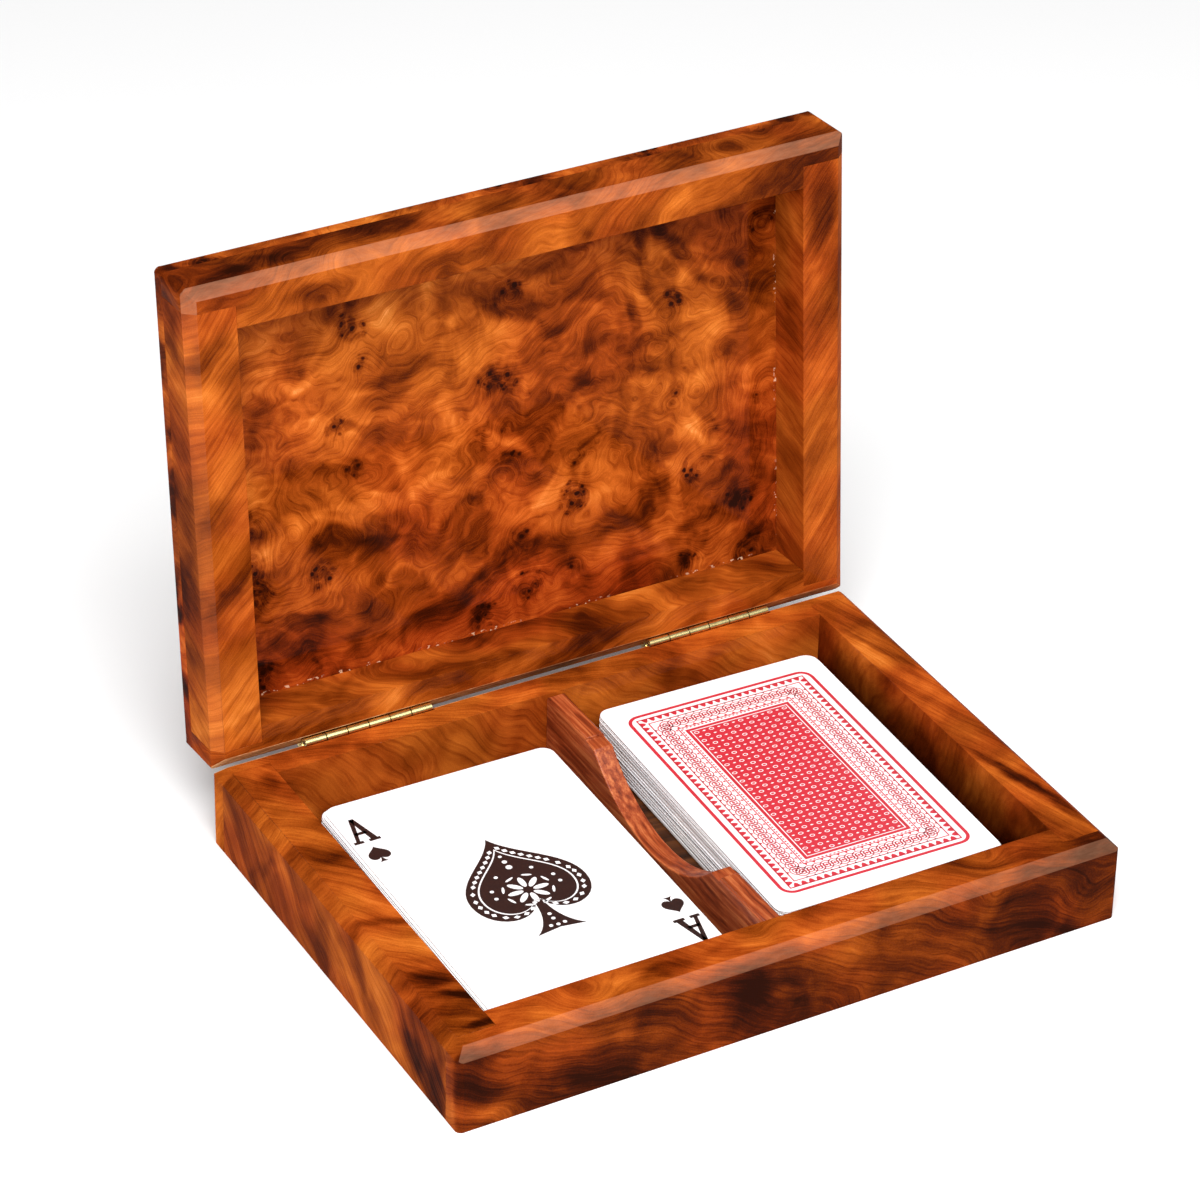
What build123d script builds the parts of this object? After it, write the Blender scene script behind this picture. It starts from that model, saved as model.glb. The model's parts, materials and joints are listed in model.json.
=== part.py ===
from build123d import *
from math import cos, radians, sin
import os

os.makedirs("parts", exist_ok=True)

# X runs left to right, Y to the hinge side, Z up from the table.

# Cards, and the wells that take them.
card_width = 57.5
card_length = 88.0
card_thick = 0.29
card_corner = 3.0
corner_steps = 3          # chords that round a card's corner inside a pack
cards = 36
card_stray = 0.22         # how far single cards stray in the pack
room_across = 11.2        # free room beside a pack in its well
room_along = 11.0
left_lie = (0.0, -0.39)   # where a pack lies, as a share of the free room
left_turn = -0.8
right_lie = (-0.05, 0.13)
right_turn = -1.5
top_card_slip = 0.9       # the left top card lies this far to the right

# Heights.
base_height = 21.0        # base frame, and the height of the meeting plane
lid_frame = 12.6          # height of the lid frame alone
lid_board = 4.2           # top board lying on the lid frame
corner_round = 1.5        # upright outer corners
board_edge = 0.8          # edge taken off the top board

# Frame rails.
side_rail = 11.8
front_rail = 11.2
back_rail = 9.8
rabbet_lip = 5.6          # what is left of front and back rail beside the side rails
meet_chamfer = 2.5        # 45 degree edges where lid and base meet
base_bevel = 2.9          # 45 degree seat of the hinges on the base
lid_bevel = 3.8           # the same on the lid
floor_board = 4.0
floor_let_in = 3.6        # width of the rebate that takes the floor board

# Divider with its finger scoop.
divider_thick = 5.0
divider_drop = 1.0        # from the rim down to the divider
divider_edge = 0.6
scoop_radius = 36.5
scoop_depth = 12.6
scoop_shift = 1.0         # middle of the scoop, towards the hinges
ledge_long = 3.0
ledge_deep = 0.9

# Hinges.
open_angle = 94.5
hinge_long = 32.4
hinge_inset = 38.2        # middle of each hinge from the side of the box
knuckles = 6
knuckle_gap = 0.25
barrel_radius = 1.15
barrel_air = 0.3          # air round the barrel in the wood
leaf_thick = 0.68
leaf_margin = 0.2         # bevel left bare beyond the leaf
leaf_air = 0.25
pin_radius = 0.5
pin_air = 0.05
nail_sides = 8
nail_radius = 0.35
nail_head = 0.75
nail_sink = 0.5
nail_long = 4.5
nails_per_leaf = 3
nail_pitch = 11.0

past = 1.0                # how far cutting shapes reach past a face

well_across = card_width + room_across
well_along = card_length + room_along
box_width = 2 * (well_across + side_rail) + divider_thick
box_depth = well_along + front_rail + back_rail
well_x = (divider_thick + well_across) / 2
inner_x = box_width / 2 - side_rail
inner_front = front_rail - box_depth / 2
inner_back = box_depth / 2 - back_rail
rabbet_y = box_depth / 2 - rabbet_lip
hinge_offset = box_width / 2 - hinge_inset
root = 2 ** 0.5
axis_y = box_depth / 2 - lid_bevel + barrel_radius * root
lid_rise = barrel_radius                 # pin line above the lid's bevel face
base_rise = (axis_y + base_bevel - box_depth / 2) / root


def block(xs, ys, zs):
    """Box between pairs of limits."""
    size = [b - a for a, b in (xs, ys, zs)]
    middle = [(a + b) / 2 for a, b in (xs, ys, zs)]
    return Pos(*middle) * Box(*size)


def rod(radius, length, x=0.0):
    """Round bar along X, its middle at x."""
    return Pos(x, 0, 0) * Rot(0, 90, 0) * Cylinder(radius, length)


def edge_tool(size, reach):
    """Prism along X that takes a 45 degree edge off a corner at the origin."""
    tip = size + past
    tri = make_face(Polyline((-tip, past), (past, -tip), (past, past), close=True))
    return extrude(Plane.YZ * tri, reach / 2 + past, both=True)


def ring(height, back_bevel, rise):
    """Frame below the meeting plane z = 0, bevelled along all four outer edges."""
    body = extrude(RectangleRounded(box_width, box_depth, corner_round), -height)
    body -= block((-inner_x, inner_x), (inner_front, inner_back), (-height - past, past))
    body -= Pos(0, box_depth / 2, 0) * edge_tool(back_bevel, box_width)
    body -= Pos(0, -box_depth / 2, 0) * Rot(0, 0, 180) * edge_tool(meet_chamfer, box_width)
    for side in (-1, 1):
        body -= Pos(side * box_width / 2, 0, 0) * Rot(0, 0, -90 * side) * edge_tool(meet_chamfer, box_depth)
    for x in (-hinge_offset, hinge_offset):
        air = rod(barrel_radius + barrel_air, hinge_long + 2 * barrel_air, x)
        body -= Pos(0, axis_y, 0) * air
        body -= Pos(x, axis_y, 0) * nails(back_bevel, rise)
    return body


def rails(body):
    """Cut a frame into front, back, left and right rails along the rabbet seams."""
    tall = body.bounding_box()
    zs = (tall.min.Z - past, tall.max.Z + past)
    far_x = box_width / 2 + past
    far_y = box_depth / 2 + past
    front = block((-far_x, far_x), (-far_y, -rabbet_y), zs) + block((-inner_x, inner_x), (-far_y, 0), zs)
    back = block((-far_x, far_x), (rabbet_y, far_y), zs) + block((-inner_x, inner_x), (0, far_y), zs)
    left = block((-far_x, -inner_x), (-rabbet_y, rabbet_y), zs)
    right = block((inner_x, far_x), (-rabbet_y, rabbet_y), zs)
    return {"front": body & front, "back": body & back, "left": body & left, "right": body & right}


def free_edge(bevel, rise):
    """Distance from the pin line to a leaf's free edge, along its bevel."""
    return bevel * root - rise - leaf_margin


def nails(bevel, rise):
    """Nails of one leaf, seen from the pin line of a hinge whose middle is the origin."""
    top = leaf_thick - rise
    row_y = (free_edge(bevel, rise) + barrel_radius + leaf_air) / 2
    shank = extrude(RegularPolygon(nail_radius, nail_sides), -nail_long)
    head = extrude(RegularPolygon(nail_head, nail_sides), -nail_sink)
    row = []
    for i in range(nails_per_leaf):
        x = (i - (nails_per_leaf - 1) / 2) * nail_pitch
        row.append(Pos(x, row_y, top) * (shank + head))
    return Rot(-45, 0, 0) * Compound(children=row)


def leaf(first, bore, bevel, rise):
    """Hinge leaf lying on the bevel, with every second knuckle from the one named first."""
    low, top = -rise, leaf_thick - rise
    notch = barrel_radius + leaf_air
    half = hinge_long / 2
    pitch = hinge_long / knuckles
    body = block((-half, half), (notch, free_edge(bevel, rise)), (low, top))
    for i in range(first, knuckles, 2):
        x = (i + 0.5) * pitch - half
        wide = pitch - knuckle_gap
        body += rod(barrel_radius, wide, x)
        body += block((x - wide / 2, x + wide / 2), (0, notch + leaf_air), (low, top))
    body -= rod(bore, hinge_long + past)
    return Rot(-45, 0, 0) * body - nails(bevel, rise)


def flip(shape):
    """Turn a base shape, pin line at the origin, into its lid partner."""
    return mirror(shape, about=Plane.XY)


def lay_on(shape, x=0.0):
    """Set a hinge shape on the box."""
    return Pos(x, axis_y, base_height) * shape


def opened(shape):
    """Swing a closed lid piece open about the pin line."""
    return Pos(0, axis_y, base_height) * Rot(-open_angle, 0, 0) * Pos(0, -axis_y, -base_height) * shape


def base_pieces():
    out = {}
    xs = (-inner_x - floor_let_in, inner_x + floor_let_in)
    ys = (inner_front - floor_let_in, inner_back + floor_let_in)
    floor = block(xs, ys, (0, floor_board))
    body = Pos(0, 0, base_height) * ring(base_height, base_bevel, base_rise) - floor
    for side, rail in rails(body).items():
        out["base_" + side + "_rail"] = rail
    out["base_floor_panel"] = floor
    out["card_divider"] = divider()
    return out


def divider():
    """Wall between the two card wells, dipped in the middle for the fingers."""
    top = base_height - divider_drop
    half = divider_thick / 2
    body = block((-half, half), (inner_front, inner_back), (floor_board, top))
    body = chamfer(body.edges().filter_by(Axis.Y).group_by(Axis.Z)[-1], divider_edge)
    centre = top - scoop_depth + scoop_radius
    body -= Pos(0, scoop_shift, centre) * rod(scoop_radius, divider_thick + past)
    chord = (scoop_radius ** 2 - (scoop_radius - scoop_depth) ** 2) ** 0.5
    reach = chord + ledge_long
    ledge = block((-half - past, half + past), (scoop_shift - reach, scoop_shift + reach),
                  (top - ledge_deep, top + past))
    return body - ledge


def lid_pieces():
    out = {}
    frame = Pos(0, 0, base_height) * mirror(ring(lid_frame, lid_bevel, lid_rise), about=Plane.XY)
    for side, rail in rails(frame).items():
        out["lid_" + side + "_rail"] = opened(rail)
    board = extrude(RectangleRounded(box_width, box_depth, corner_round), lid_board)
    board = chamfer(board.edges().group_by(Axis.Z)[-1], board_edge)
    out["lid_top_panel"] = opened(Pos(0, 0, base_height + lid_frame) * board)
    return out


def hinge_pieces():
    out = {}
    base_nails, lid_nails = [], []
    for side, x in (("left", -hinge_offset), ("right", hinge_offset)):
        base_leaf = leaf(0, pin_radius, base_bevel, base_rise)
        lid_leaf = leaf(1, pin_radius + pin_air, lid_bevel, lid_rise)
        out[side + "_hinge_base_leaf"] = lay_on(base_leaf, x)
        out[side + "_hinge_lid_leaf"] = opened(lay_on(flip(lid_leaf), x))
        out[side + "_hinge_pin"] = lay_on(rod(pin_radius, hinge_long), x)
        base_nails += lay_on(nails(base_bevel, base_rise), x).solids()
        lid_nails += opened(lay_on(flip(nails(lid_bevel, lid_rise)), x)).solids()
    out["base_hinge_nails"] = Compound(children=base_nails)
    out["lid_hinge_nails"] = Compound(children=lid_nails)
    return out


def card():
    """One playing card, flat on z = 0."""
    return extrude(RectangleRounded(card_width, card_length, card_corner), card_thick)


def pile_card():
    """A card inside a pack, its corners rounded in a few chords."""
    points = []
    for turn, (sx, sy) in enumerate(((1, 1), (-1, 1), (-1, -1), (1, -1))):
        x, y = sx * (card_width / 2 - card_corner), sy * (card_length / 2 - card_corner)
        for step in range(corner_steps + 1):
            angle = radians(90 * (turn + step / corner_steps))
            points.append((x + card_corner * cos(angle), y + card_corner * sin(angle)))
    return extrude(make_face(Polyline(*points, close=True)), card_thick)


def pack(side, lie, turn, slip):
    """A pack of cards squared up by hand; the top card comes back on its own."""
    pile = []
    for i in range(cards - 1):
        dx, dy = card_stray * sin(1.9 * i), card_stray * sin(2.7 * i + 1)
        pile.append(Pos(dx - slip, dy, i * card_thick) * pile_card())
    x = side * well_x + lie[0] * room_across
    y = (inner_front + inner_back) / 2 + lie[1] * room_along
    place = Pos(x, y, floor_board) * Rot(0, 0, turn)
    top = place * Pos(0, 0, (cards - 1) * card_thick) * card()
    return Compound(children=[place * one for one in pile]), top


def card_pieces():
    out = {}
    out["left_deck_cards"], out["left_top_card"] = pack(-1, left_lie, left_turn, top_card_slip)
    out["right_deck_cards"], out["right_top_card"] = pack(1, right_lie, right_turn, 0.0)
    return out


pieces = {}
for group in (base_pieces(), lid_pieces(), hinge_pieces(), card_pieces()):
    pieces.update(group)
for name, shape in pieces.items():
    export_step(shape, "parts/" + name + ".step")
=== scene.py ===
import json
import math
import random
import bpy
import bmesh
from mathutils import Matrix, Vector


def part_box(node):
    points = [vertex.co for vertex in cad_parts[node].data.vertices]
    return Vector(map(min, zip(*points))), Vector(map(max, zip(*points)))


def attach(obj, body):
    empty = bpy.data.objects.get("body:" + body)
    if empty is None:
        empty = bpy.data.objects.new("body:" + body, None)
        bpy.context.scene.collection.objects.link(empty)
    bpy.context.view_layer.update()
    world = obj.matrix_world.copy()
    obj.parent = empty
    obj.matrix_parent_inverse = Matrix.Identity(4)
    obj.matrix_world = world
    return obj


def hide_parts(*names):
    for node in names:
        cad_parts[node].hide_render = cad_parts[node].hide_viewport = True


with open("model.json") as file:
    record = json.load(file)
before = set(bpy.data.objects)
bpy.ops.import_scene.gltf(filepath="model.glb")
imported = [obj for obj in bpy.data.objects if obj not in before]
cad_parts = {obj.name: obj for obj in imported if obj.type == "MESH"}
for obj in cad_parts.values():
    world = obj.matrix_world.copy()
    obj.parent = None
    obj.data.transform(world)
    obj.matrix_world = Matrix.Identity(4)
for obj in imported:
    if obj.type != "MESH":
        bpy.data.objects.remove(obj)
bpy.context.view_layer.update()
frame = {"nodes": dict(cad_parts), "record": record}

nodes = frame["nodes"]
random.seed(11)

# X runs left to right, Y to the hinge side, Z up from the table. Lengths are millimetres,
# apart from points of meshes, the pin line AXIS and the places of lamps, which are metres.
MM = 0.001
moving = {joint["name"]: joint for joint in frame["record"]["behaviour"]["joints"]}
AXIS = Vector(moving["lid_hinge"]["pos_m"])
OPEN = math.radians(moving["lid_hinge"]["range_deg"][1])
SWING = Matrix.Translation(AXIS) @ Matrix.Rotation(-OPEN, 4, "X") @ Matrix.Translation(-AXIS)
CLOSE = SWING.inverted()                                  # takes a lid point to the closed box

HALF_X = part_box("base_right_rail")[1][0] / MM
HALF_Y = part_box("base_back_rail")[1][1] / MM
MEET_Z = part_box("base_front_rail")[1][2] / MM             # plane where lid and base meet
INNER_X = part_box("base_right_rail")[0][0] / MM            # inner face of the side rails
RABBET_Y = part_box("base_right_rail")[1][1] / MM           # ends of the side rails
BOARD_Z = min((CLOSE @ v.co).z for v in nodes["lid_top_panel"].data.vertices) / MM
SEAM_BACK_Y = 49.9            # glue line beside the lid's back rail
EDGE_BEVEL = 2.5              # 45 degree edges where lid and base meet
BASE_SEAT = 2.9               # bevel that carries the hinges on the base
LID_SEAT = 3.8                # the same on the lid

CARD_W = 57.5
CARD_L = 88.0
CARD_T = 0.29
CARD_R = 3.0


def srgb(r, g, b):
    """Linear colour of an 0-255 display colour."""
    out = []
    for v in (r, g, b):
        v = v / 255
        out.append(v / 12.92 if v <= 0.04045 else ((v + 0.055) / 1.055) ** 2.4)
    return tuple(out) + (1.0,)


# ---------------------------------------------------------------- shading tools
class Val:
    """A number or vector inside a node tree, with plain arithmetic."""

    def __init__(self, shade, socket):
        self.shade = shade
        self.socket = socket

    def __add__(self, other):
        return self.shade.math("ADD", self, other)

    def __sub__(self, other):
        return self.shade.math("SUBTRACT", self, other)

    def __mul__(self, other):
        return self.shade.math("MULTIPLY", self, other)


class Shade:
    """A Principled material and the nodes that feed it."""

    def __init__(self, name, **fixed):
        self.mat = bpy.data.materials.new(name)
        self.mat.use_nodes = True
        self.tree = self.mat.node_tree
        self.bsdf = next(n for n in self.tree.nodes if n.type == "BSDF_PRINCIPLED")
        for key, value in fixed.items():
            self.bsdf.inputs[key.replace("_", " ")].default_value = value

    def put(self, socket, value):
        if isinstance(value, Val):
            self.tree.links.new(value.socket, socket)
        else:
            socket.default_value = value

    def colour(self, value):
        self.put(self.bsdf.inputs["Base Color"], value)

    def rough(self, value):
        self.put(self.bsdf.inputs["Roughness"], value)

    def node(self, kind, ins, out=0, **props):
        n = self.tree.nodes.new(kind)
        for key, value in props.items():
            setattr(n, key, value)
        for key, value in ins.items():
            self.put(n.inputs[key], value)
        return Val(self, n.outputs[out])

    def math(self, op, a, b=0.0):
        return self.node("ShaderNodeMath", {0: a, 1: b}, operation=op)

    def vmath(self, op, a, b):
        return self.node("ShaderNodeVectorMath", {0: a, 1: b}, operation=op)

    def off(self, value, at):
        """Distance of a value from a fixed one."""
        return self.math("ABSOLUTE", value - at)

    def step(self, value, lo, hi, a=0.0, b=1.0):
        """Smooth ramp from a at lo to b at hi, level beyond them."""
        ins = {"Value": value, "From Min": lo, "From Max": hi, "To Min": a, "To Max": b}
        return self.node("ShaderNodeMapRange", ins, interpolation_type="SMOOTHSTEP")

    def noise(self, place, scale, detail=2.0, rough=0.5, twist=0.0, out=0):
        ins = {"Vector": place, "Scale": scale, "Detail": detail, "Roughness": rough, "Distortion": twist}
        return self.node("ShaderNodeTexNoise", ins, out)

    def cells(self, place, scale):
        """Distance to the nearest of scattered points."""
        return self.node("ShaderNodeTexVoronoi", {"Vector": place, "Scale": scale}, "Distance")

    def ramp(self, value, stops):
        n = self.tree.nodes.new("ShaderNodeValToRGB")
        elements = n.color_ramp.elements
        while len(elements) < len(stops):
            elements.new(0.5)
        for element, (at, colour) in zip(elements, stops):
            element.position = at
            element.color = colour
        self.put(n.inputs[0], value)
        return Val(self, n.outputs[0])

    def mix(self, share, a, b):
        n = self.tree.nodes.new("ShaderNodeMix")
        n.data_type = "RGBA"
        for index, value in ((0, share), (6, a), (7, b)):
            self.put(n.inputs[index], value)
        return Val(self, n.outputs[2])

    def mapped(self, place, kind="POINT", **how):
        """A place moved by Location, Rotation and Scale; kind TEXTURE undoes them instead."""
        return self.node("ShaderNodeMapping", {"Vector": place, **how}, vector_type=kind)

    def mm(self, lid=False):
        """Place on the closed box, in millimetres."""
        place = self.node("ShaderNodeTexCoord", {}, "Object")
        if lid:
            shift = AXIS - Matrix.Rotation(OPEN, 4, "X") @ AXIS
            place = self.mapped(place, Location=shift, Rotation=(OPEN, 0, 0))
        return self.mapped(place, Scale=(1000, 1000, 1000))

    def xyz(self, place):
        n = self.tree.nodes.new("ShaderNodeSeparateXYZ")
        self.put(n.inputs[0], place)
        return [Val(self, o) for o in n.outputs]

    def join(self, x, y, z):
        return self.node("ShaderNodeCombineXYZ", {0: x, 1: y, 2: z})

    def warp(self, place, scale, amount):
        """A place pushed about by a noise, by up to half the amount each way."""
        push = self.noise(place, scale, out="Color")
        push = self.vmath("SUBTRACT", push, (0.5, 0.5, 0.5))
        push = self.vmath("MULTIPLY", push, (amount, amount, amount))
        return self.vmath("ADD", place, push)

    def bump(self, height, strength, reach):
        n = self.tree.nodes.new("ShaderNodeBump")
        n.inputs["Strength"].default_value = strength
        n.inputs["Distance"].default_value = reach
        self.put(n.inputs["Height"], height)
        self.put(self.bsdf.inputs["Normal"], Val(self, n.outputs[0]))


def sway(noise, amount):
    """A noise about its middle, scaled."""
    return (noise - 0.5) * amount


# ---------------------------------------------------------------- burl and rail wood
# Without specular the white floor lays no haze over the dark wood; the coat gives the varnish.
VARNISH = dict(Roughness=0.4, Specular_IOR_Level=0.0, Coat_Weight=0.05, Coat_Roughness=0.06)
WARM = [(0.0, (40, 11, 2)), (0.15, (70, 23, 4)), (0.30, (106, 42, 6)), (0.50, (150, 69, 17)),
        (0.70, (190, 98, 30)), (0.88, (217, 126, 50)), (1.0, (234, 152, 80))]
DEEP = [(0.0, (34, 8, 2)), (0.15, (60, 16, 3)), (0.30, (98, 30, 5)), (0.50, (144, 51, 13)),
        (0.70, (184, 78, 24)), (0.88, (210, 104, 40)), (1.0, (228, 136, 70))]
# painted reflection: pale colour mixed onto the bevel faces where a lamp would be mirrored
PAINTED_BEVEL_SHEEN = (206, 146, 112)
# raw sawn wood, its colours raised above the wood's own as painted light on seat faces that lie in shade
SAWN_AND_PAINTED_LIGHT = [(0.3, (150, 100, 60)), (0.5, (204, 150, 100)), (0.7, (238, 196, 146))]
GLUE = (236, 196, 160)
# painted highlight along the board's outer edge
BOARD_EDGE_HIGHLIGHT = (224, 138, 66)

EYE_GROUPS = 0.072            # groups of eyes per millimetre in the burl board
RAIL_EYES = 0.042             # places per millimetre that draw a rail's lines round them
PORES = 4.2                   # scale of the fine flecks

# Bevel faces as factors of x, y and z and what their sum is on the face.
BASE_BEVELS = [(0, -1, 1, HALF_Y + MEET_Z - EDGE_BEVEL)]
LID_BEVELS = [(0, 1, 1, MEET_Z + EDGE_BEVEL - HALF_Y), (1, 0, 1, MEET_Z + EDGE_BEVEL - HALF_X)]
BASE_SEAT_FACE = (0, 1, 1, HALF_Y + MEET_Z - BASE_SEAT)
LID_SEAT_FACE = (0, 1, -1, HALF_Y - MEET_Z - LID_SEAT)


def stops(colours):
    """Colour ramp stops from display colours."""
    return [(at, srgb(*colour)) for at, colour in colours]


def tones(shade, tone, red):
    """Varnished burl colours for a tone from 0 to 1, redder where red nears 1."""
    return shade.mix(red, shade.ramp(tone, stops(WARM)), shade.ramp(tone, stops(DEEP)))


def planes(shade, place, faces):
    """1 on the listed bevel faces, 0 elsewhere."""
    x, y, z = shade.xyz(place)
    total = 0.0
    for fx, fy, fz, at in faces:
        hit = shade.step(shade.off(x * fx + y * fy + z * fz, at), 0.16, 0.04)
        total = shade.math("MAXIMUM", total, hit)
    return total


def spots(shade, place, tone, marks):
    """Darken or lighten a tone in soft streaks: (middle, turn about Z, radii, amount)."""
    bent = shade.warp(place, 0.12, 4.0)
    for middle, turn, radii, amount in marks:
        spin = (0.0, 0.0, math.radians(turn))
        local = shade.mapped(bent, "TEXTURE", Location=middle, Rotation=spin, Scale=radii)
        far = shade.node("ShaderNodeVectorMath", {0: local}, "Value", operation="LENGTH")
        tone = tone + shade.step(far, 1.2, 0.35) * amount
    return tone


def grain(shade, place, across, seed, wave, curl, pull, eyes, pace):
    """Noises drawn out along growth lines that lie square to the direction across.

    wave and curl bend the lines in wide and in small bows, pull draws them round the eyes,
    pace sets how close the thin dark rings lie. Comes back as the seeded place, the broad,
    middle and thin noises, and the rings.
    """
    x, y, z = shade.xyz(place)
    seeded = shade.mapped(place, Location=(seed * 7.3, seed * 3.1, seed * 5.7))
    line = x * across[0] + y * across[1] + z * across[2]
    line = line + sway(shade.noise(seeded, 0.020), wave) + sway(shade.noise(seeded, 0.085), curl)
    if pull:
        near = shade.cells(shade.warp(seeded, 0.05, 6.0), eyes)
        line = line + shade.step(near, 0.50, 0.0) * pull
    drift = shade.join(line, (x + z * 0.7) * 0.07 + seed, (y - z * 0.7) * 0.07)
    broad = shade.noise(drift, 0.13)
    mid = shade.noise(drift, 0.62, detail=3.0, rough=0.6)
    thin = shade.noise(drift, 3.1, rough=0.6)
    rings = shade.step(shade.math("SINE", line * pace + mid * 12.0), 0.45, 0.98)
    return seeded, broad, mid, thin, rings


def rail_wood(name, lid, across, seed, tone, red, wave, curl, pull=0.0, contrast=1.0,
              bevels=(), painted_shine=0.0, sawn=None, marks=()):
    """Rail wood: bevels take a pale painted sheen in place of a reflection; a sawn face shows raw wood
    towards the left, lightened as painted light.
    """
    shade = Shade(name, **VARNISH)
    place = shade.mm(lid)
    seeded, broad, mid, thin, rings = grain(shade, place, across, seed, wave, curl, pull,
                                            eyes=RAIL_EYES, pace=4.4)
    cloud = shade.noise(shade.warp(seeded, 0.05, 12.0), 0.065, twist=0.5)
    level = sway(broad, contrast) + sway(mid, 0.36) + sway(thin, 0.26) + tone
    level = level + sway(shade.noise(seeded, PORES, rough=0.6), 0.26)
    level = level + sway(cloud, 0.85 * contrast) - rings * shade.step(cloud, 0.35, 0.6, 0.02, 0.07)
    level = spots(shade, place, level, marks)
    redness = shade.step(shade.noise(seeded, 0.045, detail=1.0), 0.38, 0.62, red - 0.3, red + 0.3)
    base = tones(shade, level, redness)
    rough = shade.step(thin, 0.3, 0.7, 0.42, 0.32)
    # painted reflection: the bevels are mixed towards a pale sheen, broken by planing marks
    if bevels:
        on = planes(shade, place, bevels)
        drawn = shade.mapped(place, Scale=(0.35, 1.4, 1.4), Rotation=(0, 0, 0.5))
        marked = shade.noise(drawn, 0.9, detail=3.0, rough=0.6)
        painted_sheen = shade.step(marked, 0.34, 0.66, painted_shine * 0.85, painted_shine * 1.15)
        base = shade.mix(on * painted_sheen, base, srgb(*PAINTED_BEVEL_SHEEN))
        rough = rough + on * 0.04
    # raw wood on the sawn seat face, partly lightened as painted light
    if sawn:
        on = planes(shade, place, [sawn])
        chips = shade.noise(shade.mapped(place, Scale=(0.25, 1, 1)), 1.4, detail=4.0, rough=0.7)
        bare = shade.step(shade.xyz(place)[0], 10.0, -40.0, 0.35, 1.0)
        base = shade.mix(on * bare, base, shade.ramp(chips, stops(SAWN_AND_PAINTED_LIGHT)))
        rough = rough + on * 0.4
    shade.colour(base)
    shade.rough(rough)
    shade.bump(thin * 0.6 + mid * 0.4, 0.08, 0.0002)
    return shade.mat


BOARD_MARKS = [
    ((46, -34, BOARD_Z), 55, (13, 2.6, 4), -0.30),
    ((33, -22, BOARD_Z), 80, (8, 2.0, 4), -0.24),
    ((30, 2, BOARD_Z), 100, (15, 2.4, 4), -0.18),
    ((-50, -40, BOARD_Z), 0, (14, 6, 4), -0.10),
    ((60, -40, BOARD_Z), 90, (18, 3.5, 4), -0.14),
    ((-58, 34, BOARD_Z), 0, (12, 8, 4), -0.10),
    ((40, 34, BOARD_Z), 20, (14, 5, 4), -0.12),
    ((-20, 42, BOARD_Z), 0, (26, 4, 4), -0.12),
    ((-30, 6, BOARD_Z), 0, (16, 9, 4), 0.10),
    ((0, 20, BOARD_Z), 30, (18, 9, 4), 0.08),
    ((-20, -30, BOARD_Z), 0, (14, 8, 4), 0.06),
]


def burl_wood(name, seed):
    """Lid board: lines that flow round groups of small dark eyes, with pillowy lights."""
    shade = Shade(name, **VARNISH)
    place = shade.mm(lid=True)
    x, y, z = shade.xyz(place)
    seeded, broad, mid, thin, rings = grain(shade, place, (0.34, 0.94, 0.0), seed, wave=78.0,
                                            curl=16.0, pull=8.0, eyes=EYE_GROUPS, pace=2.6)
    home = shade.step(shade.noise(seeded, 0.030, rough=0.6), 0.38, 0.48)
    group = shade.step(shade.cells(shade.warp(seeded, 0.05, 6.0), EYE_GROUPS), 0.38, 0.20) * home
    spot = shade.cells(shade.warp(seeded, 0.6, 0.9), 0.46)
    eye = shade.step(spot, 0.36, 0.12) * group
    ringed = shade.step(spot, 0.66, 0.50) * group
    flow = shade.warp(shade.warp(seeded, 0.028, 30.0), 0.09, 8.0)
    pillow = shade.noise(shade.mapped(flow, Scale=(0.75, 1.15, 1.0)), 0.075)
    puff = shade.noise(shade.warp(flow, 0.18, 3.0), 0.17)
    level = sway(pillow, 1.35) + sway(puff, 0.62) + sway(broad, 0.46) + sway(mid, 0.30) + sway(thin, 0.30)
    level = level + sway(shade.noise(seeded, PORES, rough=0.6), 0.26) + 0.48
    level = level - rings * shade.step(pillow, 0.35, 0.6, 0.02, 0.08) - group * 0.12
    level = spots(shade, place, level, BOARD_MARKS)
    level = level - ringed * 0.16 - eye * 0.50
    redness = shade.step(shade.noise(seeded, 0.022, detail=1.0), 0.38, 0.58) * 0.5
    redness = redness + shade.step(y, -20.0, 38.0, 0.0, 0.5)
    base = tones(shade, level, redness)

    # Pips of old glue in the joints on the right and at the back of the inner face.
    inside = shade.step(shade.off(z, BOARD_Z), 0.3, 0.1)
    right_joint = shade.step(shade.off(x, INNER_X - 0.2), 0.55, 0.25)
    back_joint = shade.step(shade.off(y, SEAM_BACK_Y), 0.55, 0.25)
    pips = shade.step(shade.noise(place, 0.9, rough=0.6), 0.58, 0.64)
    pips = pips * shade.step(shade.noise(place, 0.07, detail=1.0), 0.46, 0.56)
    pips = pips * shade.math("MAXIMUM", right_joint, back_joint) * inside
    base = shade.mix(pips * 0.75, base, srgb(*GLUE))

    # The board's outer edge at the front and back is painted lighter as a highlight.
    edge_highlight = shade.step(z, 37.0, 37.5) * shade.step(shade.off(y, 0.0), 58.6, 59.4)
    base = shade.mix(edge_highlight * 0.5, base, srgb(*BOARD_EDGE_HIGHLIGHT))
    shade.colour(base)
    shade.rough(shade.step(thin, 0.3, 0.7, 0.42, 0.32))
    shade.bump(thin, 0.06, 0.0002)
    return shade.mat


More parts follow.
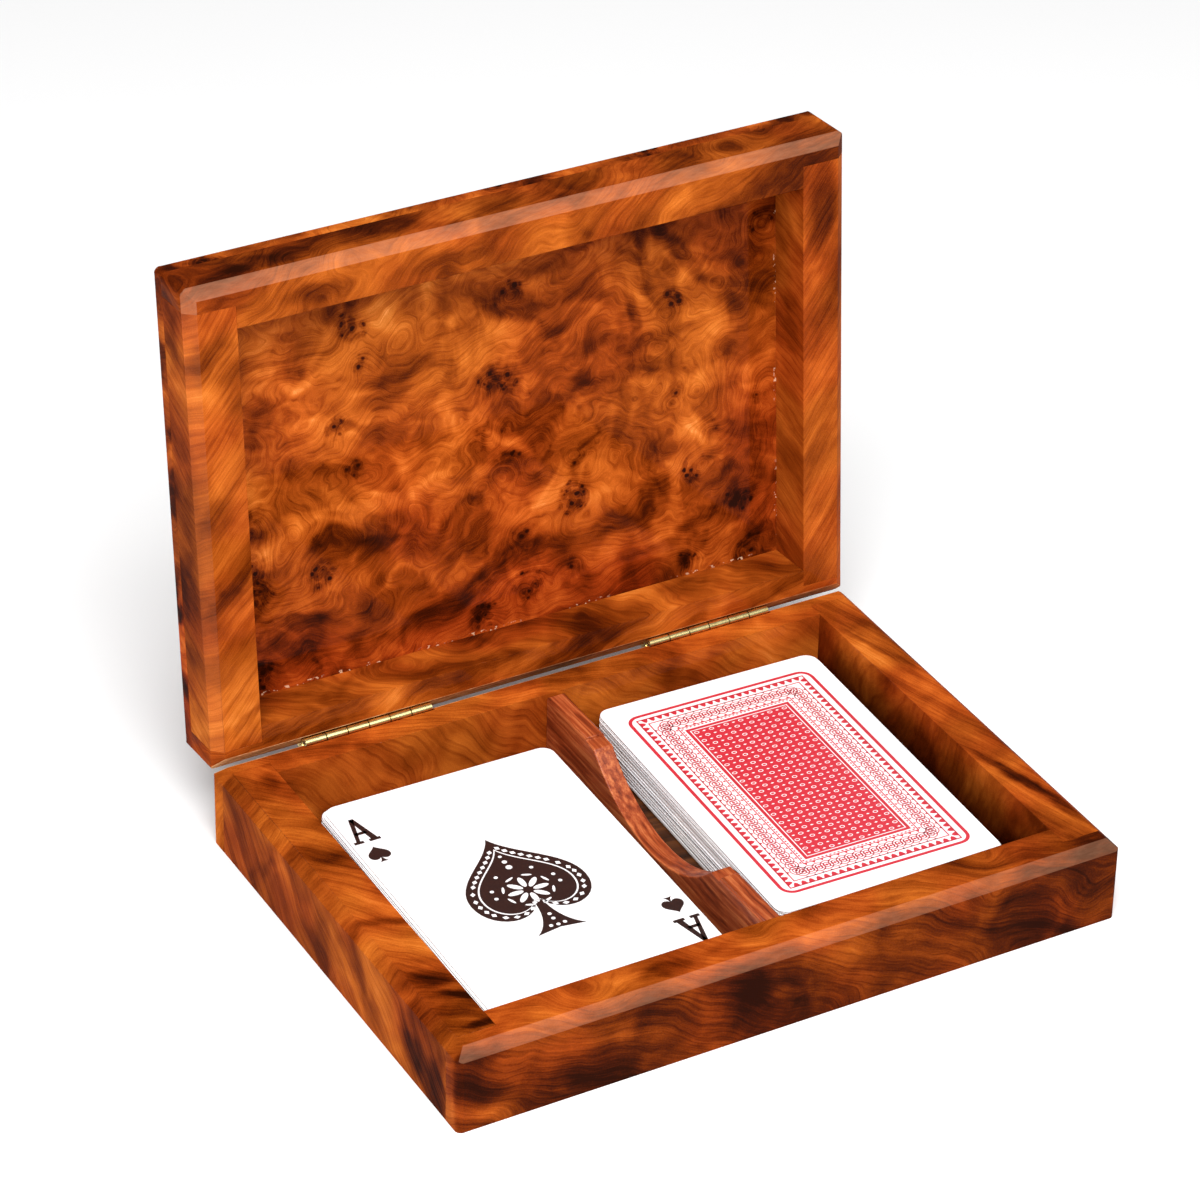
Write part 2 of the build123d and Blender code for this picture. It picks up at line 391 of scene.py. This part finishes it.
# ---------------------------------------------------------------- other materials
def plain_wood(name, turn, colours, scale, seed):
    """Straight-grained wood, its grain turned about Z from the X direction."""
    shade = Shade(name, Roughness=0.4, Specular_IOR_Level=0.3, Coat_Weight=0.08, Coat_Roughness=0.16)
    line = shade.mapped(shade.mm(), Location=(seed, seed * 3, seed * 2), Rotation=(0, 0, math.radians(turn)))
    line = shade.mapped(shade.warp(line, 0.05, 2.0), Scale=(0.03, 1.0, 1.0))
    bands = shade.noise(line, scale, detail=3.0, rough=0.6)
    pores = shade.noise(line, scale * 6, detail=3.0, rough=0.7)
    base = shade.ramp(sway(bands, 1.6) + 0.5 + sway(pores, 0.7), stops(colours))
    base = shade.mix(shade.step(pores, 0.58, 0.68) * 0.45, base, srgb(74, 26, 12))
    shade.colour(base)
    shade.bump(pores, 0.12, 0.0002)
    return shade.mat


def brass(name, tint, rough):
    """Metal with duller patches and fine brushing along the hinge."""
    shade = Shade(name, Metallic=1.0)
    place = shade.mm()
    wear = shade.noise(place, 0.35)
    fine = shade.noise(shade.mapped(place, Scale=(0.3, 3, 3)), 2.0, rough=0.6)
    shade.colour(shade.mix(shade.step(wear, 0.40, 0.65, 0.0, 0.35), srgb(*tint), srgb(206, 164, 92)))
    shade.rough(shade.step(fine, 0.3, 0.7, rough - 0.04, rough + 0.06))
    shade.bump(fine, 0.04, 0.00003)
    return shade.mat


def card_face(name):
    """Coated white card."""
    shade = Shade(name, Coat_Weight=0.25, Coat_Roughness=0.2)
    place = shade.mm()
    tooth = shade.noise(place, 3.0)
    cool = shade.step(shade.noise(place, 0.05, detail=1.0), 0.3, 0.7)
    shade.colour(shade.mix(cool, srgb(252, 252, 252), srgb(246, 246, 249)))
    shade.rough(shade.step(tooth, 0.3, 0.7, 0.38, 0.48))
    shade.bump(tooth, 0.03, 0.00005)
    return shade.mat


def card_edges(name):
    """Cut sides of the cards, in greys that change from card to card."""
    shade = Shade(name, Roughness=0.7)
    height = shade.xyz(shade.mm())[2]
    each = shade.noise(shade.join(0.0, 0.0, height), 3.4, rough=0.6)
    greys = [(0.30, (160, 152, 148)), (0.48, (214, 209, 206)), (0.62, (244, 242, 240))]
    shade.colour(shade.ramp(each, stops(greys)))
    return shade.mat


def ink_and_painted_shadow(name, light, dark):
    """Uneven printing colour, also used for the painted shadow on the sides of the gap cards."""
    shade = Shade(name, Roughness=0.4, Coat_Weight=0.2, Coat_Roughness=0.2)
    patchy = shade.noise(shade.mm(), 2.2, detail=3.0, rough=0.6)
    shade.colour(shade.mix(shade.step(patchy, 0.35, 0.75), srgb(*light), srgb(*dark)))
    return shade.mat


def paper_floor(name):
    """Almost even white of the studio floor."""
    shade = Shade(name, Roughness=0.9)
    drift = shade.noise(shade.mm(), 0.002, detail=1.0)
    shade.colour(shade.mix(drift, srgb(250, 250, 250), srgb(247, 247, 247)))
    return shade.mat


# ---------------------------------------------------------------- meshes
WELD = 2e-6                       # metres within which corners are one
FLAT = math.radians(0.6)          # faces closer in angle than this are one plane
BARREL_CLEAR = 1.5                # edges nearer the pin line than this stay sharp
SEAM_SHARE = 0.35                 # how much of the usual easing an edge at a joint gets
NEAR = 0.05                       # an edge this close to a plane lies on it
CORNER_Y = 49.0                   # the rails' ends meet beyond this
CORNER_LONG = 6.0                 # longer edges there are a rail's own


def piece(name, mesh, body, mats, stands_for=()):
    """An object of the visual model, riding its body in place of the named CAD nodes."""
    for mat in mats:
        mesh.materials.append(mat)
    obj = bpy.data.objects.new(name, mesh)
    bpy.context.scene.collection.objects.link(obj)
    if stands_for:
        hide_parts(*stands_for)
    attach(obj, body)
    return obj


def mesh_of(name, bm):
    """New mesh from a finished bmesh."""
    mesh = bpy.data.meshes.new(name)
    bm.to_mesh(mesh)
    bm.free()
    return mesh


def welded(node):
    """Copy of a CAD node's mesh, and a bmesh of it with its triangles joined into flat faces."""
    mesh = nodes[node].data.copy()
    mesh.materials.clear()
    bm = bmesh.new()
    bm.from_mesh(mesh)
    bmesh.ops.remove_doubles(bm, verts=bm.verts, dist=WELD)
    bmesh.ops.dissolve_limit(bm, angle_limit=FLAT, verts=bm.verts, edges=bm.edges)
    for face in bm.faces:
        face.smooth = True
    return mesh, bm


def dressed(node, mesh, bm, body, mat, sharp):
    """The piece that stands for a CAD node, made of its reworked mesh."""
    bm.to_mesh(mesh)
    bm.free()
    mesh.set_sharp_from_angle(angle=math.radians(sharp))
    return piece(node + "_dressed", mesh, body, [mat], (node,))


def seam_edge(a, b):
    """True on an edge along the joint between two rails, or beside the barrel seat."""
    if min(a.y, b.y) > HALF_Y - 4.0 and max(abs(a.z - MEET_Z), abs(b.z - MEET_Z)) < NEAR:
        return True
    if max(abs(abs(a.y) - RABBET_Y), abs(abs(b.y) - RABBET_Y)) < NEAR:
        return True
    on_side = max(abs(abs(a.x) - INNER_X), abs(abs(b.x) - INNER_X)) < NEAR
    return on_side and max(abs(a.y), abs(b.y)) > CORNER_Y and abs(a.y - b.y) < CORNER_LONG


def dress(node, body, mat, soft, seam=None, long=7.0):
    """A wooden CAD node with its edges eased, as a sanded and varnished piece has them.

    Edges shorter than long stay sharp, and edges for which seam is true are eased less.
    """
    mesh, bm = welded(node)
    weight = bm.edges.layers.float.new("bevel_weight_edge")
    for edge in bm.edges:
        if len(edge.link_faces) != 2 or edge.calc_face_angle(0.0) < math.radians(25):
            continue
        if edge.calc_length() < long * MM:
            continue
        if min(math.hypot(v.co.y - AXIS.y, v.co.z - AXIS.z) for v in edge.verts) < BARREL_CLEAR * MM:
            continue
        a, b = [(CLOSE @ v.co if body == "lid" else v.co) / MM for v in edge.verts]
        edge[weight] = SEAM_SHARE if seam and seam(a, b) else 1.0
    ease = dressed(node, mesh, bm, body, mat, sharp=32).modifiers.new("ease", "BEVEL")
    ease.width = soft * MM
    ease.segments = 2
    ease.limit_method = "WEIGHT"
    ease.use_clamp_overlap = False
    ease.harden_normals = True


def metal(node, body, mat, soft):
    """A metal CAD node with all its sharp edges eased."""
    mesh, bm = welded(node)
    ease = dressed(node, mesh, bm, body, mat, sharp=35).modifiers.new("ease", "BEVEL")
    ease.width = soft * MM
    ease.segments = 2
    ease.limit_method = "ANGLE"
    ease.angle_limit = math.radians(50)
    ease.harden_normals = True


# ---------------------------------------------------------------- wood pieces
# Each rail's lines lie square to across; marks are single streaks seen in the photograph.
RAILS = {
    "base_front": dict(
        across=(0.30, 0.62, 0.72), seed=3.1, tone=0.51, red=0.25, wave=15.0, curl=3.0, pull=7.0,
        contrast=0.9, bevels=BASE_BEVELS, painted_shine=0.16, marks=[
            ((0, -61, 6), 0, (400, 3.2, 60), -0.26),
            ((-50, -60, 7), 0, (16, 4, 7), -0.16),
            ((-12, -60, 9), 0, (7, 4, 11), -0.16),
            ((14, -60, 10), 0, (10, 4, 10), 0.10),
            ((40, -60, 12), 0, (8, 4, 10), 0.08),
            ((62, -60, 8), 0, (16, 4, 9), -0.14),
            ((80, -57, 21), 0, (10, 7, 3), -0.22),
            ((-30, -54, 21), 0, (7, 3, 2), -0.18),
            ((-16, -54, 21), 0, (5, 3, 2), -0.16),
        ]),
    "base_back": dict(
        across=(0.40, 0.80, 0.45), seed=5.4, tone=0.53, red=0.20, wave=11.0, curl=3.0, pull=4.0,
        sawn=BASE_SEAT_FACE),
    "base_left": dict(
        across=(0.62, 0.52, -0.58), seed=8.2, tone=0.48, red=0.20, wave=15.0, curl=2.5,
        bevels=BASE_BEVELS, painted_shine=0.08, marks=[
            ((-74, -12, 21), -25, (9, 2.0, 3), -0.20),
            ((-77, -34, 21), -20, (6, 4, 4), -0.30),
            ((-72, -42, 21), -30, (7, 1.5, 3), -0.30),
            ((-73, -52, 21), -10, (5, 1.5, 3), -0.36),
            ((-83, -40, 10), 0, (3, 7, 12), -0.26),
            ((-83, -50, 6), 0, (3, 6, 9), -0.34),
            ((-83, 20, 9), 0, (3, 22, 7), -0.05),
            ((-76, 46, 21), 40, (9, 3, 3), -0.10),
        ]),
    "base_right": dict(
        across=(0.95, 0.28, 0.12), seed=2.6, tone=0.44, red=0.30, wave=5.0, curl=1.0,
        contrast=0.85, bevels=BASE_BEVELS, painted_shine=0.08, marks=[
            ((76.5, -30, 21), -74, (15, 1.8, 4), -0.34),
            ((79, -44, 21), -74, (8, 1.8, 4), -0.20),
            ((76, 30, 21), -70, (14, 1.4, 3), -0.12),
        ]),
    "lid_front": dict(
        across=(0.35, 0.75, -0.55), seed=6.5, tone=0.46, red=0.20, wave=26.0, curl=5.0, pull=9.0,
        bevels=LID_BEVELS, painted_shine=0.24, marks=[
            ((0, -61, 30), 0, (400, 3.2, 60), -0.16),
            ((-52, -53, 21), 0, (9, 3, 3), -0.22),
            ((-20, -53, 21), 0, (12, 3, 3), -0.12),
            ((45, -53, 21), 0, (12, 4, 3), 0.10),
            ((-62, -60, 28), 0, (14, 4, 4), -0.20),
            ((60, -60, 30), 0, (18, 4, 5), -0.12),
        ]),
    "lid_back": dict(
        across=(0.30, 0.88, 0.36), seed=9.3, tone=0.50, red=0.35, wave=16.0, curl=5.0, pull=6.0,
        contrast=1.15, sawn=LID_SEAT_FACE),
    "lid_left": dict(
        across=(0.72, 0.60, 0.34), seed=1.7, tone=0.57, red=0.22, wave=7.0, curl=1.4,
        contrast=0.95, bevels=LID_BEVELS, painted_shine=0.05, marks=[
            ((-77, -42, 21), -35, (9, 8, 4), -0.24),
            ((-80, -5, 21), -48, (10, 2.5, 3), -0.14),
            ((-76, 14, 21), -45, (12, 2, 3), -0.18),
            ((-74, 47, 21), -45, (6, 1.5, 3), -0.24),
            ((-83, 0, 30), 0, (3, 70, 8), -0.16),
        ]),
    "lid_right": dict(
        across=(0.80, 0.55, 0.20), seed=4.4, tone=0.48, red=0.25, wave=5.0, curl=1.0,
        contrast=0.85, bevels=LID_BEVELS, painted_shine=0.08, marks=[
            ((76, -43, 21), -80, (13, 5, 6), -0.36),
            ((72, -20, 27), 0, (2, 30, 8), -0.06),
        ]),
}
# painted shade: the floor board's wood colours are darkened to the shadow it lies in between packs and rails
FLOOR_SHADED_COLOURS = [(0.2, (40, 20, 8)), (0.5, (66, 34, 13)), (0.8, (96, 54, 22))]
DIVIDER_COLOURS = [(0.15, (98, 34, 14)), (0.5, (158, 70, 34)), (0.85, (204, 116, 66))]

for rail, look in RAILS.items():
    body = rail.split("_")[0]
    wood = rail_wood("wood_" + rail, body == "lid", **look)
    dress(rail + "_rail", body, wood, soft=0.28, seam=seam_edge)
dress("lid_top_panel", "lid", burl_wood("wood_burl_board", 2.2), soft=0.3)
floor_wood_shaded = plain_wood("wood_floor_painted_shade", 8, FLOOR_SHADED_COLOURS, scale=0.35, seed=2.0)
dress("base_floor_panel", "base", floor_wood_shaded, soft=0.2)
divider_wood = plain_wood("wood_divider", 88, DIVIDER_COLOURS, scale=0.9, seed=5.0)
dress("card_divider", "base", divider_wood, soft=0.35, long=1.0)

# ---------------------------------------------------------------- hinges
gold = brass("brass_polished", (248, 228, 160), rough=0.24)
dark = brass("brass_pin", (84, 60, 32), rough=0.45)
nail = brass("brass_nails", (214, 176, 104), rough=0.3)
for side in ("left", "right"):
    metal(side + "_hinge_base_leaf", "base", gold, soft=0.22)
    metal(side + "_hinge_lid_leaf", "lid", gold, soft=0.22)
    metal(side + "_hinge_pin", "base", dark, soft=0.08)
for body in ("base", "lid"):
    metal(body + "_hinge_nails", body, nail, soft=0.10)

# ---------------------------------------------------------------- cards
PILE = 35                          # cards under the top card of a pack
STRAY = 0.22                       # how far the cards stray, in the rhythm of the CAD pack
# painted shadow: the sides of these cards are coloured dark for the shadow of a gap
PAINTED_SHADOW_CARDS = {"left": (34, 22, 9), "right": (27, 16, 5)}      # cards that show as a dark gap
face_mat = card_face("card_white")
edge_mat = card_edges("card_edge")
# painted shadow: a dark grey-brown that stands for the shade in the gap under a card
gap_shadow_mat = ink_and_painted_shadow("card_painted_gap_shadow", (92, 78, 70), (70, 58, 52))
red_ink = ink_and_painted_shadow("ink_red", (208, 52, 66), (196, 40, 56))
black_ink = ink_and_painted_shadow("ink_black", (34, 24, 24), (44, 32, 30))
white_ink = card_face("card_print_white")


def rounded(w, h, r, steps=6):
    """Outline of a rectangle with rounded corners."""
    points = []
    for turn, (sx, sy) in enumerate(((1, 1), (-1, 1), (-1, -1), (1, -1))):
        for i in range(steps + 1):
            a = math.radians(90 * (turn + i / steps))
            points.append((sx * (w / 2 - r) + r * math.cos(a), sy * (h / 2 - r) + r * math.sin(a)))
    return points


def add_card(bm, place, thick, side_index=1):
    """Card slab; its sides take the material with the given index."""
    outline = rounded(CARD_W, CARD_L, CARD_R)
    low = [bm.verts.new(place @ Vector((x * MM, y * MM, 0))) for x, y in outline]
    top = [bm.verts.new(place @ Vector((x * MM, y * MM, thick * MM))) for x, y in outline]
    bm.faces.new(low[::-1])
    bm.faces.new(top)
    for i in range(len(low)):
        j = (i + 1) % len(low)
        face = bm.faces.new((low[i], low[j], top[j], top[i]))
        face.material_index = side_index


def card_place(node):
    """Place of a single card, its turn read from the long side of its CAD node."""
    lo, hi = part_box(node)
    middle = Vector(((lo[0] + hi[0]) / 2, (lo[1] + hi[1]) / 2, lo[2]))
    out_x = 0.4 * (hi[0] - lo[0])
    out_y = 0.3 * (hi[1] - lo[1])
    corners = [v.co for v in nodes[node].data.vertices]
    side = [c for c in corners if c.x - middle.x > out_x and abs(c.y - middle.y) > out_y]
    side.sort(key=lambda c: c.y)
    front = sum(side[:4], Vector()) / 4
    rear = sum(side[-4:], Vector()) / 4
    turn = -math.atan2(rear.x - front.x, rear.y - front.y)
    return Matrix.Translation(middle) @ Matrix.Rotation(turn, 4, "Z")


def pack(side, slip, fan):
    """A pack squared up by hand, its pile slipped to the left and fanned at random.

    Comes back as the place of the pack's upper face.
    """
    body = side + "_deck"
    top = card_place(side + "_top_card")
    bm = bmesh.new()
    for i in range(PILE):
        dx = STRAY * math.sin(1.9 * i) + random.uniform(-fan, fan) - slip
        dy = STRAY * math.sin(2.7 * i + 1) + random.uniform(-fan, fan)
        turn = Matrix.Rotation(math.radians(random.uniform(-0.12, 0.12)), 4, "Z")
        shift = Matrix.Translation((dx * MM, dy * MM, (i - PILE) * CARD_T * MM))
        # sides of the listed cards take the painted gap shadow
        add_card(bm, top @ shift @ turn, CARD_T * 0.90, 2 if i in PAINTED_SHADOW_CARDS[side] else 1)
    mats = [face_mat, edge_mat, gap_shadow_mat]
    piece(side + "_pack", mesh_of(side + "_pack", bm), body, mats, (body + "_cards",))
    bm = bmesh.new()
    add_card(bm, top, CARD_T * 0.95)
    mats = [face_mat, edge_mat]
    piece(side + "_top", mesh_of(side + "_top", bm), body, mats, (side + "_top_card",))
    return top @ Matrix.Translation((0, 0, CARD_T * MM))


# ---------------------------------------------------------------- printing
INK_LIFT = 0.004                   # printed shapes float this far over the card
GAP_LIFT = 0.008                   # white shapes float over the ink


def prints(name, shapes, place, lift, mat, body):
    """Flat printed shapes on a card, given from the card's middle."""
    bm = bmesh.new()
    for shape in shapes:
        bm.faces.new([bm.verts.new(place @ Vector((x * MM, y * MM, lift * MM))) for x, y in shape])
    bm.normal_update()
    piece(name, mesh_of(name, bm), body, [mat])


def band(outer, inner):
    """Quads between two outlines with as many points."""
    n = len(outer)
    return [(outer[i], outer[(i + 1) % n], inner[(i + 1) % n], inner[i]) for i in range(n)]


def frame_line(w, h, thick, r=0.05, steps=1):
    """Printed line round a rectangle."""
    inner = rounded(w - 2 * thick, h - 2 * thick, max(r - thick, 0.02), steps)
    return band(rounded(w, h, r, steps), inner)


def turned(shape, x, y, t):
    """A shape turned by t and set at x, y."""
    return [(x + u * math.cos(t) - v * math.sin(t), y + u * math.sin(t) + v * math.cos(t)) for u, v in shape]


def dot(x, y, rx, ry=None, n=10, turn=0.0):
    """Ellipse, or with few points a lozenge or polygon."""
    angles = [2 * math.pi * i / n for i in range(n)]
    return turned([(rx * math.cos(a), (ry or rx) * math.sin(a)) for a in angles], x, y, turn)


def along(w, h, pitch, shapes):
    """Shapes repeated at an even pitch round a rectangle, upright to its sides."""
    out = []
    sides = ((0, h / 2, w, 0), (w / 2, 0, h, -90), (0, -h / 2, w, 180), (-w / 2, 0, h, 90))
    for sx, sy, length, side in sides:
        count = max(2, round(length / pitch))
        t = math.radians(side)
        for i in range(count):
            d = (i + 0.5) / count * length - length / 2
            out += [turned(shape, sx + d * math.cos(t), sy + d * math.sin(t), t) for shape in shapes]
    return out


def chain_link():
    """Ring with a bead in it and a small leaf on either side."""
    link = band(dot(0, 0, 1.62, n=14), dot(0, 0, 1.36, n=14))
    link += band(dot(0, 0, 0.95, n=12), dot(0, 0, 0.70, n=12))
    link.append(dot(0, 0, 0.36, n=8))
    for side in (-1, 1):
        leaf = [(-0.42, 2.35 * side), (0.42, 2.35 * side), (0.0, 1.65 * side)]
        link.append(leaf[::side])
    return link


def back_print(place, body):
    """Card back: toothed line, chain of rings, beaded line and a field of rings and lozenges."""
    place = place @ Matrix.Scale(1.025, 4)
    reds = frame_line(47.6, 75.0, 0.85, 3.2, 6)
    for w, h, thick in ((43.2, 71.4, 0.35), (39.2, 67.4, 0.30), (29.2, 58.0, 0.30), (26.6, 55.4, 0.80)):
        reds += frame_line(w, h, thick)
    tooth = [(-0.80, 0.72), (0.80, 0.72), (0.45, -0.20), (0.0, -0.62), (-0.45, -0.20)]
    reds += along(41.2, 69.4, 1.9, [tooth])
    reds += along(34.2, 62.7, 2.05, chain_link())
    reds += along(27.9, 56.7, 1.0, [dot(0, 0, 0.40, 0.26, 4)])
    w, h = 24.5, 53.3
    reds.append([(-w / 2, -h / 2), (w / 2, -h / 2), (w / 2, h / 2), (-w / 2, h / 2)])
    prints("right_card_print", reds, place, INK_LIFT, red_ink, body)

    whites = []
    columns, rows = 13, 30
    for i in range(columns):
        for j in range(rows):
            x = (i + 0.5) / columns * w - w / 2
            y = (j + 0.5) / rows * h - h / 2
            if (i + j) % 2:
                whites += band(dot(x, y, 0.66, 0.50, 8), dot(x, y, 0.46, 0.31, 8))
            else:
                whites.append(dot(x, y, 0.46, 0.24, 4))
    prints("right_card_print_gaps", whites, place, GAP_LIFT, white_ink, body)


def curve(a, b, c, d, steps):
    """Points of a Bezier curve, its first point left out."""
    out = []
    for i in range(1, steps + 1):
        t = i / steps
        u = 1 - t
        share = (u ** 3, 3 * u * u * t, 3 * u * t * t, t ** 3)
        out.append(tuple(sum(s * point[k] for s, point in zip(share, (a, b, c, d))) for k in (0, 1)))
    return out


def spade(w, h, foot=True, steps=10):
    """Outline of a plain spade, its tip up, with or without a flared foot."""
    half = [(0.0, 1.0)] + curve((0.0, 1.0), (0.24, 0.58), (1.0, 0.36), (1.0, -0.14), steps)
    half += curve((1.0, -0.14), (1.0, -0.44), (0.74, -0.62), (0.48, -0.62), steps // 2)
    half += curve((0.48, -0.62), (0.30, -0.62), (0.15, -0.54), (0.075, -0.43), steps // 3)
    if foot:
        half += curve((0.075, -0.43), (0.10, -0.68), (0.22, -0.89), (0.42, -1.0), steps // 2)
        half.append((0.0, -0.95))
    full = half + [(-x, y) for x, y in reversed(half) if x > 1e-6]
    return [(x * w / 2, y * h / 2) for x, y in full]


def letter_a(height):
    """Narrow index letter with slab feet, as strokes about its middle."""
    strokes = [
        [(-0.45, 4.0), (0.75, 4.0), (-1.55, -3.3), (-2.55, -3.3)],
        [(-0.45, 4.0), (0.75, 4.0), (2.95, -3.3), (1.25, -3.3)],
        [(-1.45, -0.45), (1.35, -0.45), (1.55, -1.30), (-1.65, -1.30)],
        [(-3.3, -3.2), (-0.8, -3.2), (-0.8, -4.0), (-3.3, -4.0)],
        [(0.6, -3.2), (3.5, -3.2), (3.5, -4.0), (0.6, -4.0)],
    ]
    k = height / 8.0
    return [[(x * k * 0.80, y * k) for x, y in stroke] for stroke in strokes]


def rosette(cx, cy):
    """Eight petals with a small dash between each two."""
    out = []
    for i in range(8):
        a = math.pi / 4 * i
        out.append(dot(cx + 3.1 * math.cos(a), cy + 3.1 * math.sin(a), 1.9, 0.72, 12, a))
        a += math.pi / 8
        out.append(dot(cx + 5.6 * math.cos(a), cy + 5.6 * math.sin(a), 1.25, 0.34, 8, a + math.pi / 2))
    return out


def beads(outline, pitch):
    """Lozenges along an outline, never closer than the pitch."""
    out = []
    gone = 0.0
    for i, a in enumerate(outline):
        b = outline[(i + 1) % len(outline)]
        gone += math.dist(a, b)
        if gone >= pitch and a != b:
            gone = 0.0
            out.append(turned(dot(0, 0, 0.80, 0.60, 4), a[0], a[1], math.atan2(b[1] - a[1], b[0] - a[0])))
    return out


SPADE_DOTS = (
    (0, 9.2, 0.62), (0, 11.4, 0.45), (0, 7.0, 0.80), (-7.6, 0.4, 0.5), (7.6, 0.4, 0.5),
    (-7.9, -2.4, 0.5), (7.9, -2.4, 0.5), (-4.4, 4.8, 0.5), (4.4, 4.8, 0.5), (0, -12.4, 0.5),
    (0, -14.2, 0.5), (-1.7, -16.4, 0.5), (1.7, -16.4, 0.5), (0, -16.6, 0.5),
)


def face_print(place, body):
    """Ace of spades: plain indices and a spade with a lozenge border and a rosette."""
    cx, cy, w, h = -1.2, -1.4, 28.4, 37.2
    black = []
    for way, turn in ((1, 0.0), (-1, math.pi)):
        for stroke in letter_a(9.5):
            black.append(turned(stroke, -24.8 * way, 33.0 * way, turn))
        black.append(turned(spade(5.2, 6.2), -24.6 * way, 23.1 * way, turn))
    black.append([(x + cx, y + cy) for x, y in spade(w, h, True, 16)])
    prints("left_card_print", black, place, INK_LIFT, black_ink, body)

    def inset(k):
        """The big spade's outline, without its foot, drawn in towards its middle."""
        return [(cx + x * k, cy - 1.6 + (y + 1.6) * k) for x, y in spade(w, h, False, 24)]

    whites = band(inset(0.80), inset(0.772)) + beads(inset(0.885), 1.9) + rosette(cx, cy - 2.4)
    whites += [dot(cx + x, cy + y, r, n=8) for x, y, r in SPADE_DOTS]
    prints("left_card_print_gaps", whites, place, GAP_LIFT, white_ink, body)


face_print(pack("left", slip=0.9, fan=0.05), "left_deck")
back_print(pack("right", slip=0.0, fan=0.10), "right_deck")

# ---------------------------------------------------------------- stage and light
FLOOR_REACH = 3.0                  # metres from the middle to the floor's edges
SKY_STRENGTH = 0.26
bm = bmesh.new()
bmesh.ops.create_grid(bm, x_segments=1, y_segments=1, size=FLOOR_REACH)
mesh = mesh_of("floor", bm)
mesh.materials.append(paper_floor("floor_white"))
floor = bpy.data.objects.new("floor", mesh)
bpy.context.scene.collection.objects.link(floor)

world = bpy.data.worlds.new("studio")
world.use_nodes = True
sky = world.node_tree.nodes["Background"]
sky.inputs["Color"].default_value = (1.0, 1.0, 1.0, 1.0)
sky.inputs["Strength"].default_value = SKY_STRENGTH
bpy.context.scene.world = world


def softbox(name, at, aim, size, power):
    """Rectangular lamp that looks at a point; places in metres, power in watts."""
    lamp = bpy.data.lights.new(name, "AREA")
    lamp.shape = "RECTANGLE"
    lamp.size, lamp.size_y = size
    lamp.energy = power
    obj = bpy.data.objects.new(name, lamp)
    obj.location = at
    obj.rotation_euler = (Vector(aim) - Vector(at)).to_track_quat("-Z", "Y").to_euler()
    bpy.context.scene.collection.objects.link(obj)


softbox("key", (-0.62, -0.85, 1.20), (0, 0, 0.03), (1.0, 0.9), 16.6)
softbox("fill", (0.15, -1.00, 1.10), (0, 0, 0.03), (1.0, 0.9), 7.4)
softbox("top", (-0.32, -0.55, 1.5), (0, 0, 0), (1.1, 1.1), 17.6)

# ---------------------------------------------------------------- camera
AZIMUTH, ELEVATION, ROLL = math.radians(-120.68), math.radians(32.19), math.radians(1.83)
TARGET = Vector((38.25, 60.57, 40.0)) * MM
DISTANCE = 1153.99 * MM
PIXELS = 1200.0                    # width and height of the photograph
FOCAL = 4934.03                    # focal length in pixels of the photograph
MIDDLE_X, MIDDLE_Y = 680.0, 560.0  # pixel where the line of sight meets the photograph
SENSOR = 36.0

back = Vector((math.cos(ELEVATION) * math.cos(AZIMUTH), math.cos(ELEVATION) * math.sin(AZIMUTH),
               math.sin(ELEVATION)))
right = (-back).cross(Vector((0, 0, 1))).normalized()
up = right.cross(-back)
x_axis = right * math.cos(ROLL) + up * math.sin(ROLL)
y_axis = up * math.cos(ROLL) - right * math.sin(ROLL)
lens = bpy.data.cameras.new("photo_view")
lens.sensor_width = SENSOR
lens.sensor_height = SENSOR
lens.sensor_fit = "HORIZONTAL"
lens.lens = FOCAL / PIXELS * SENSOR
lens.shift_x = (PIXELS / 2 - MIDDLE_X) / PIXELS
lens.shift_y = (MIDDLE_Y - PIXELS / 2) / PIXELS
lens.clip_start = 0.01
camera = bpy.data.objects.new("photo_view", lens)
turn = Matrix((x_axis, y_axis, back)).transposed().to_4x4()
camera.matrix_world = Matrix.Translation(TARGET + back * DISTANCE) @ turn
bpy.context.scene.collection.objects.link(camera)
bpy.context.scene.camera = camera
bpy.context.scene.view_settings.view_transform = "Standard"
bpy.context.scene.view_settings.look = "None"
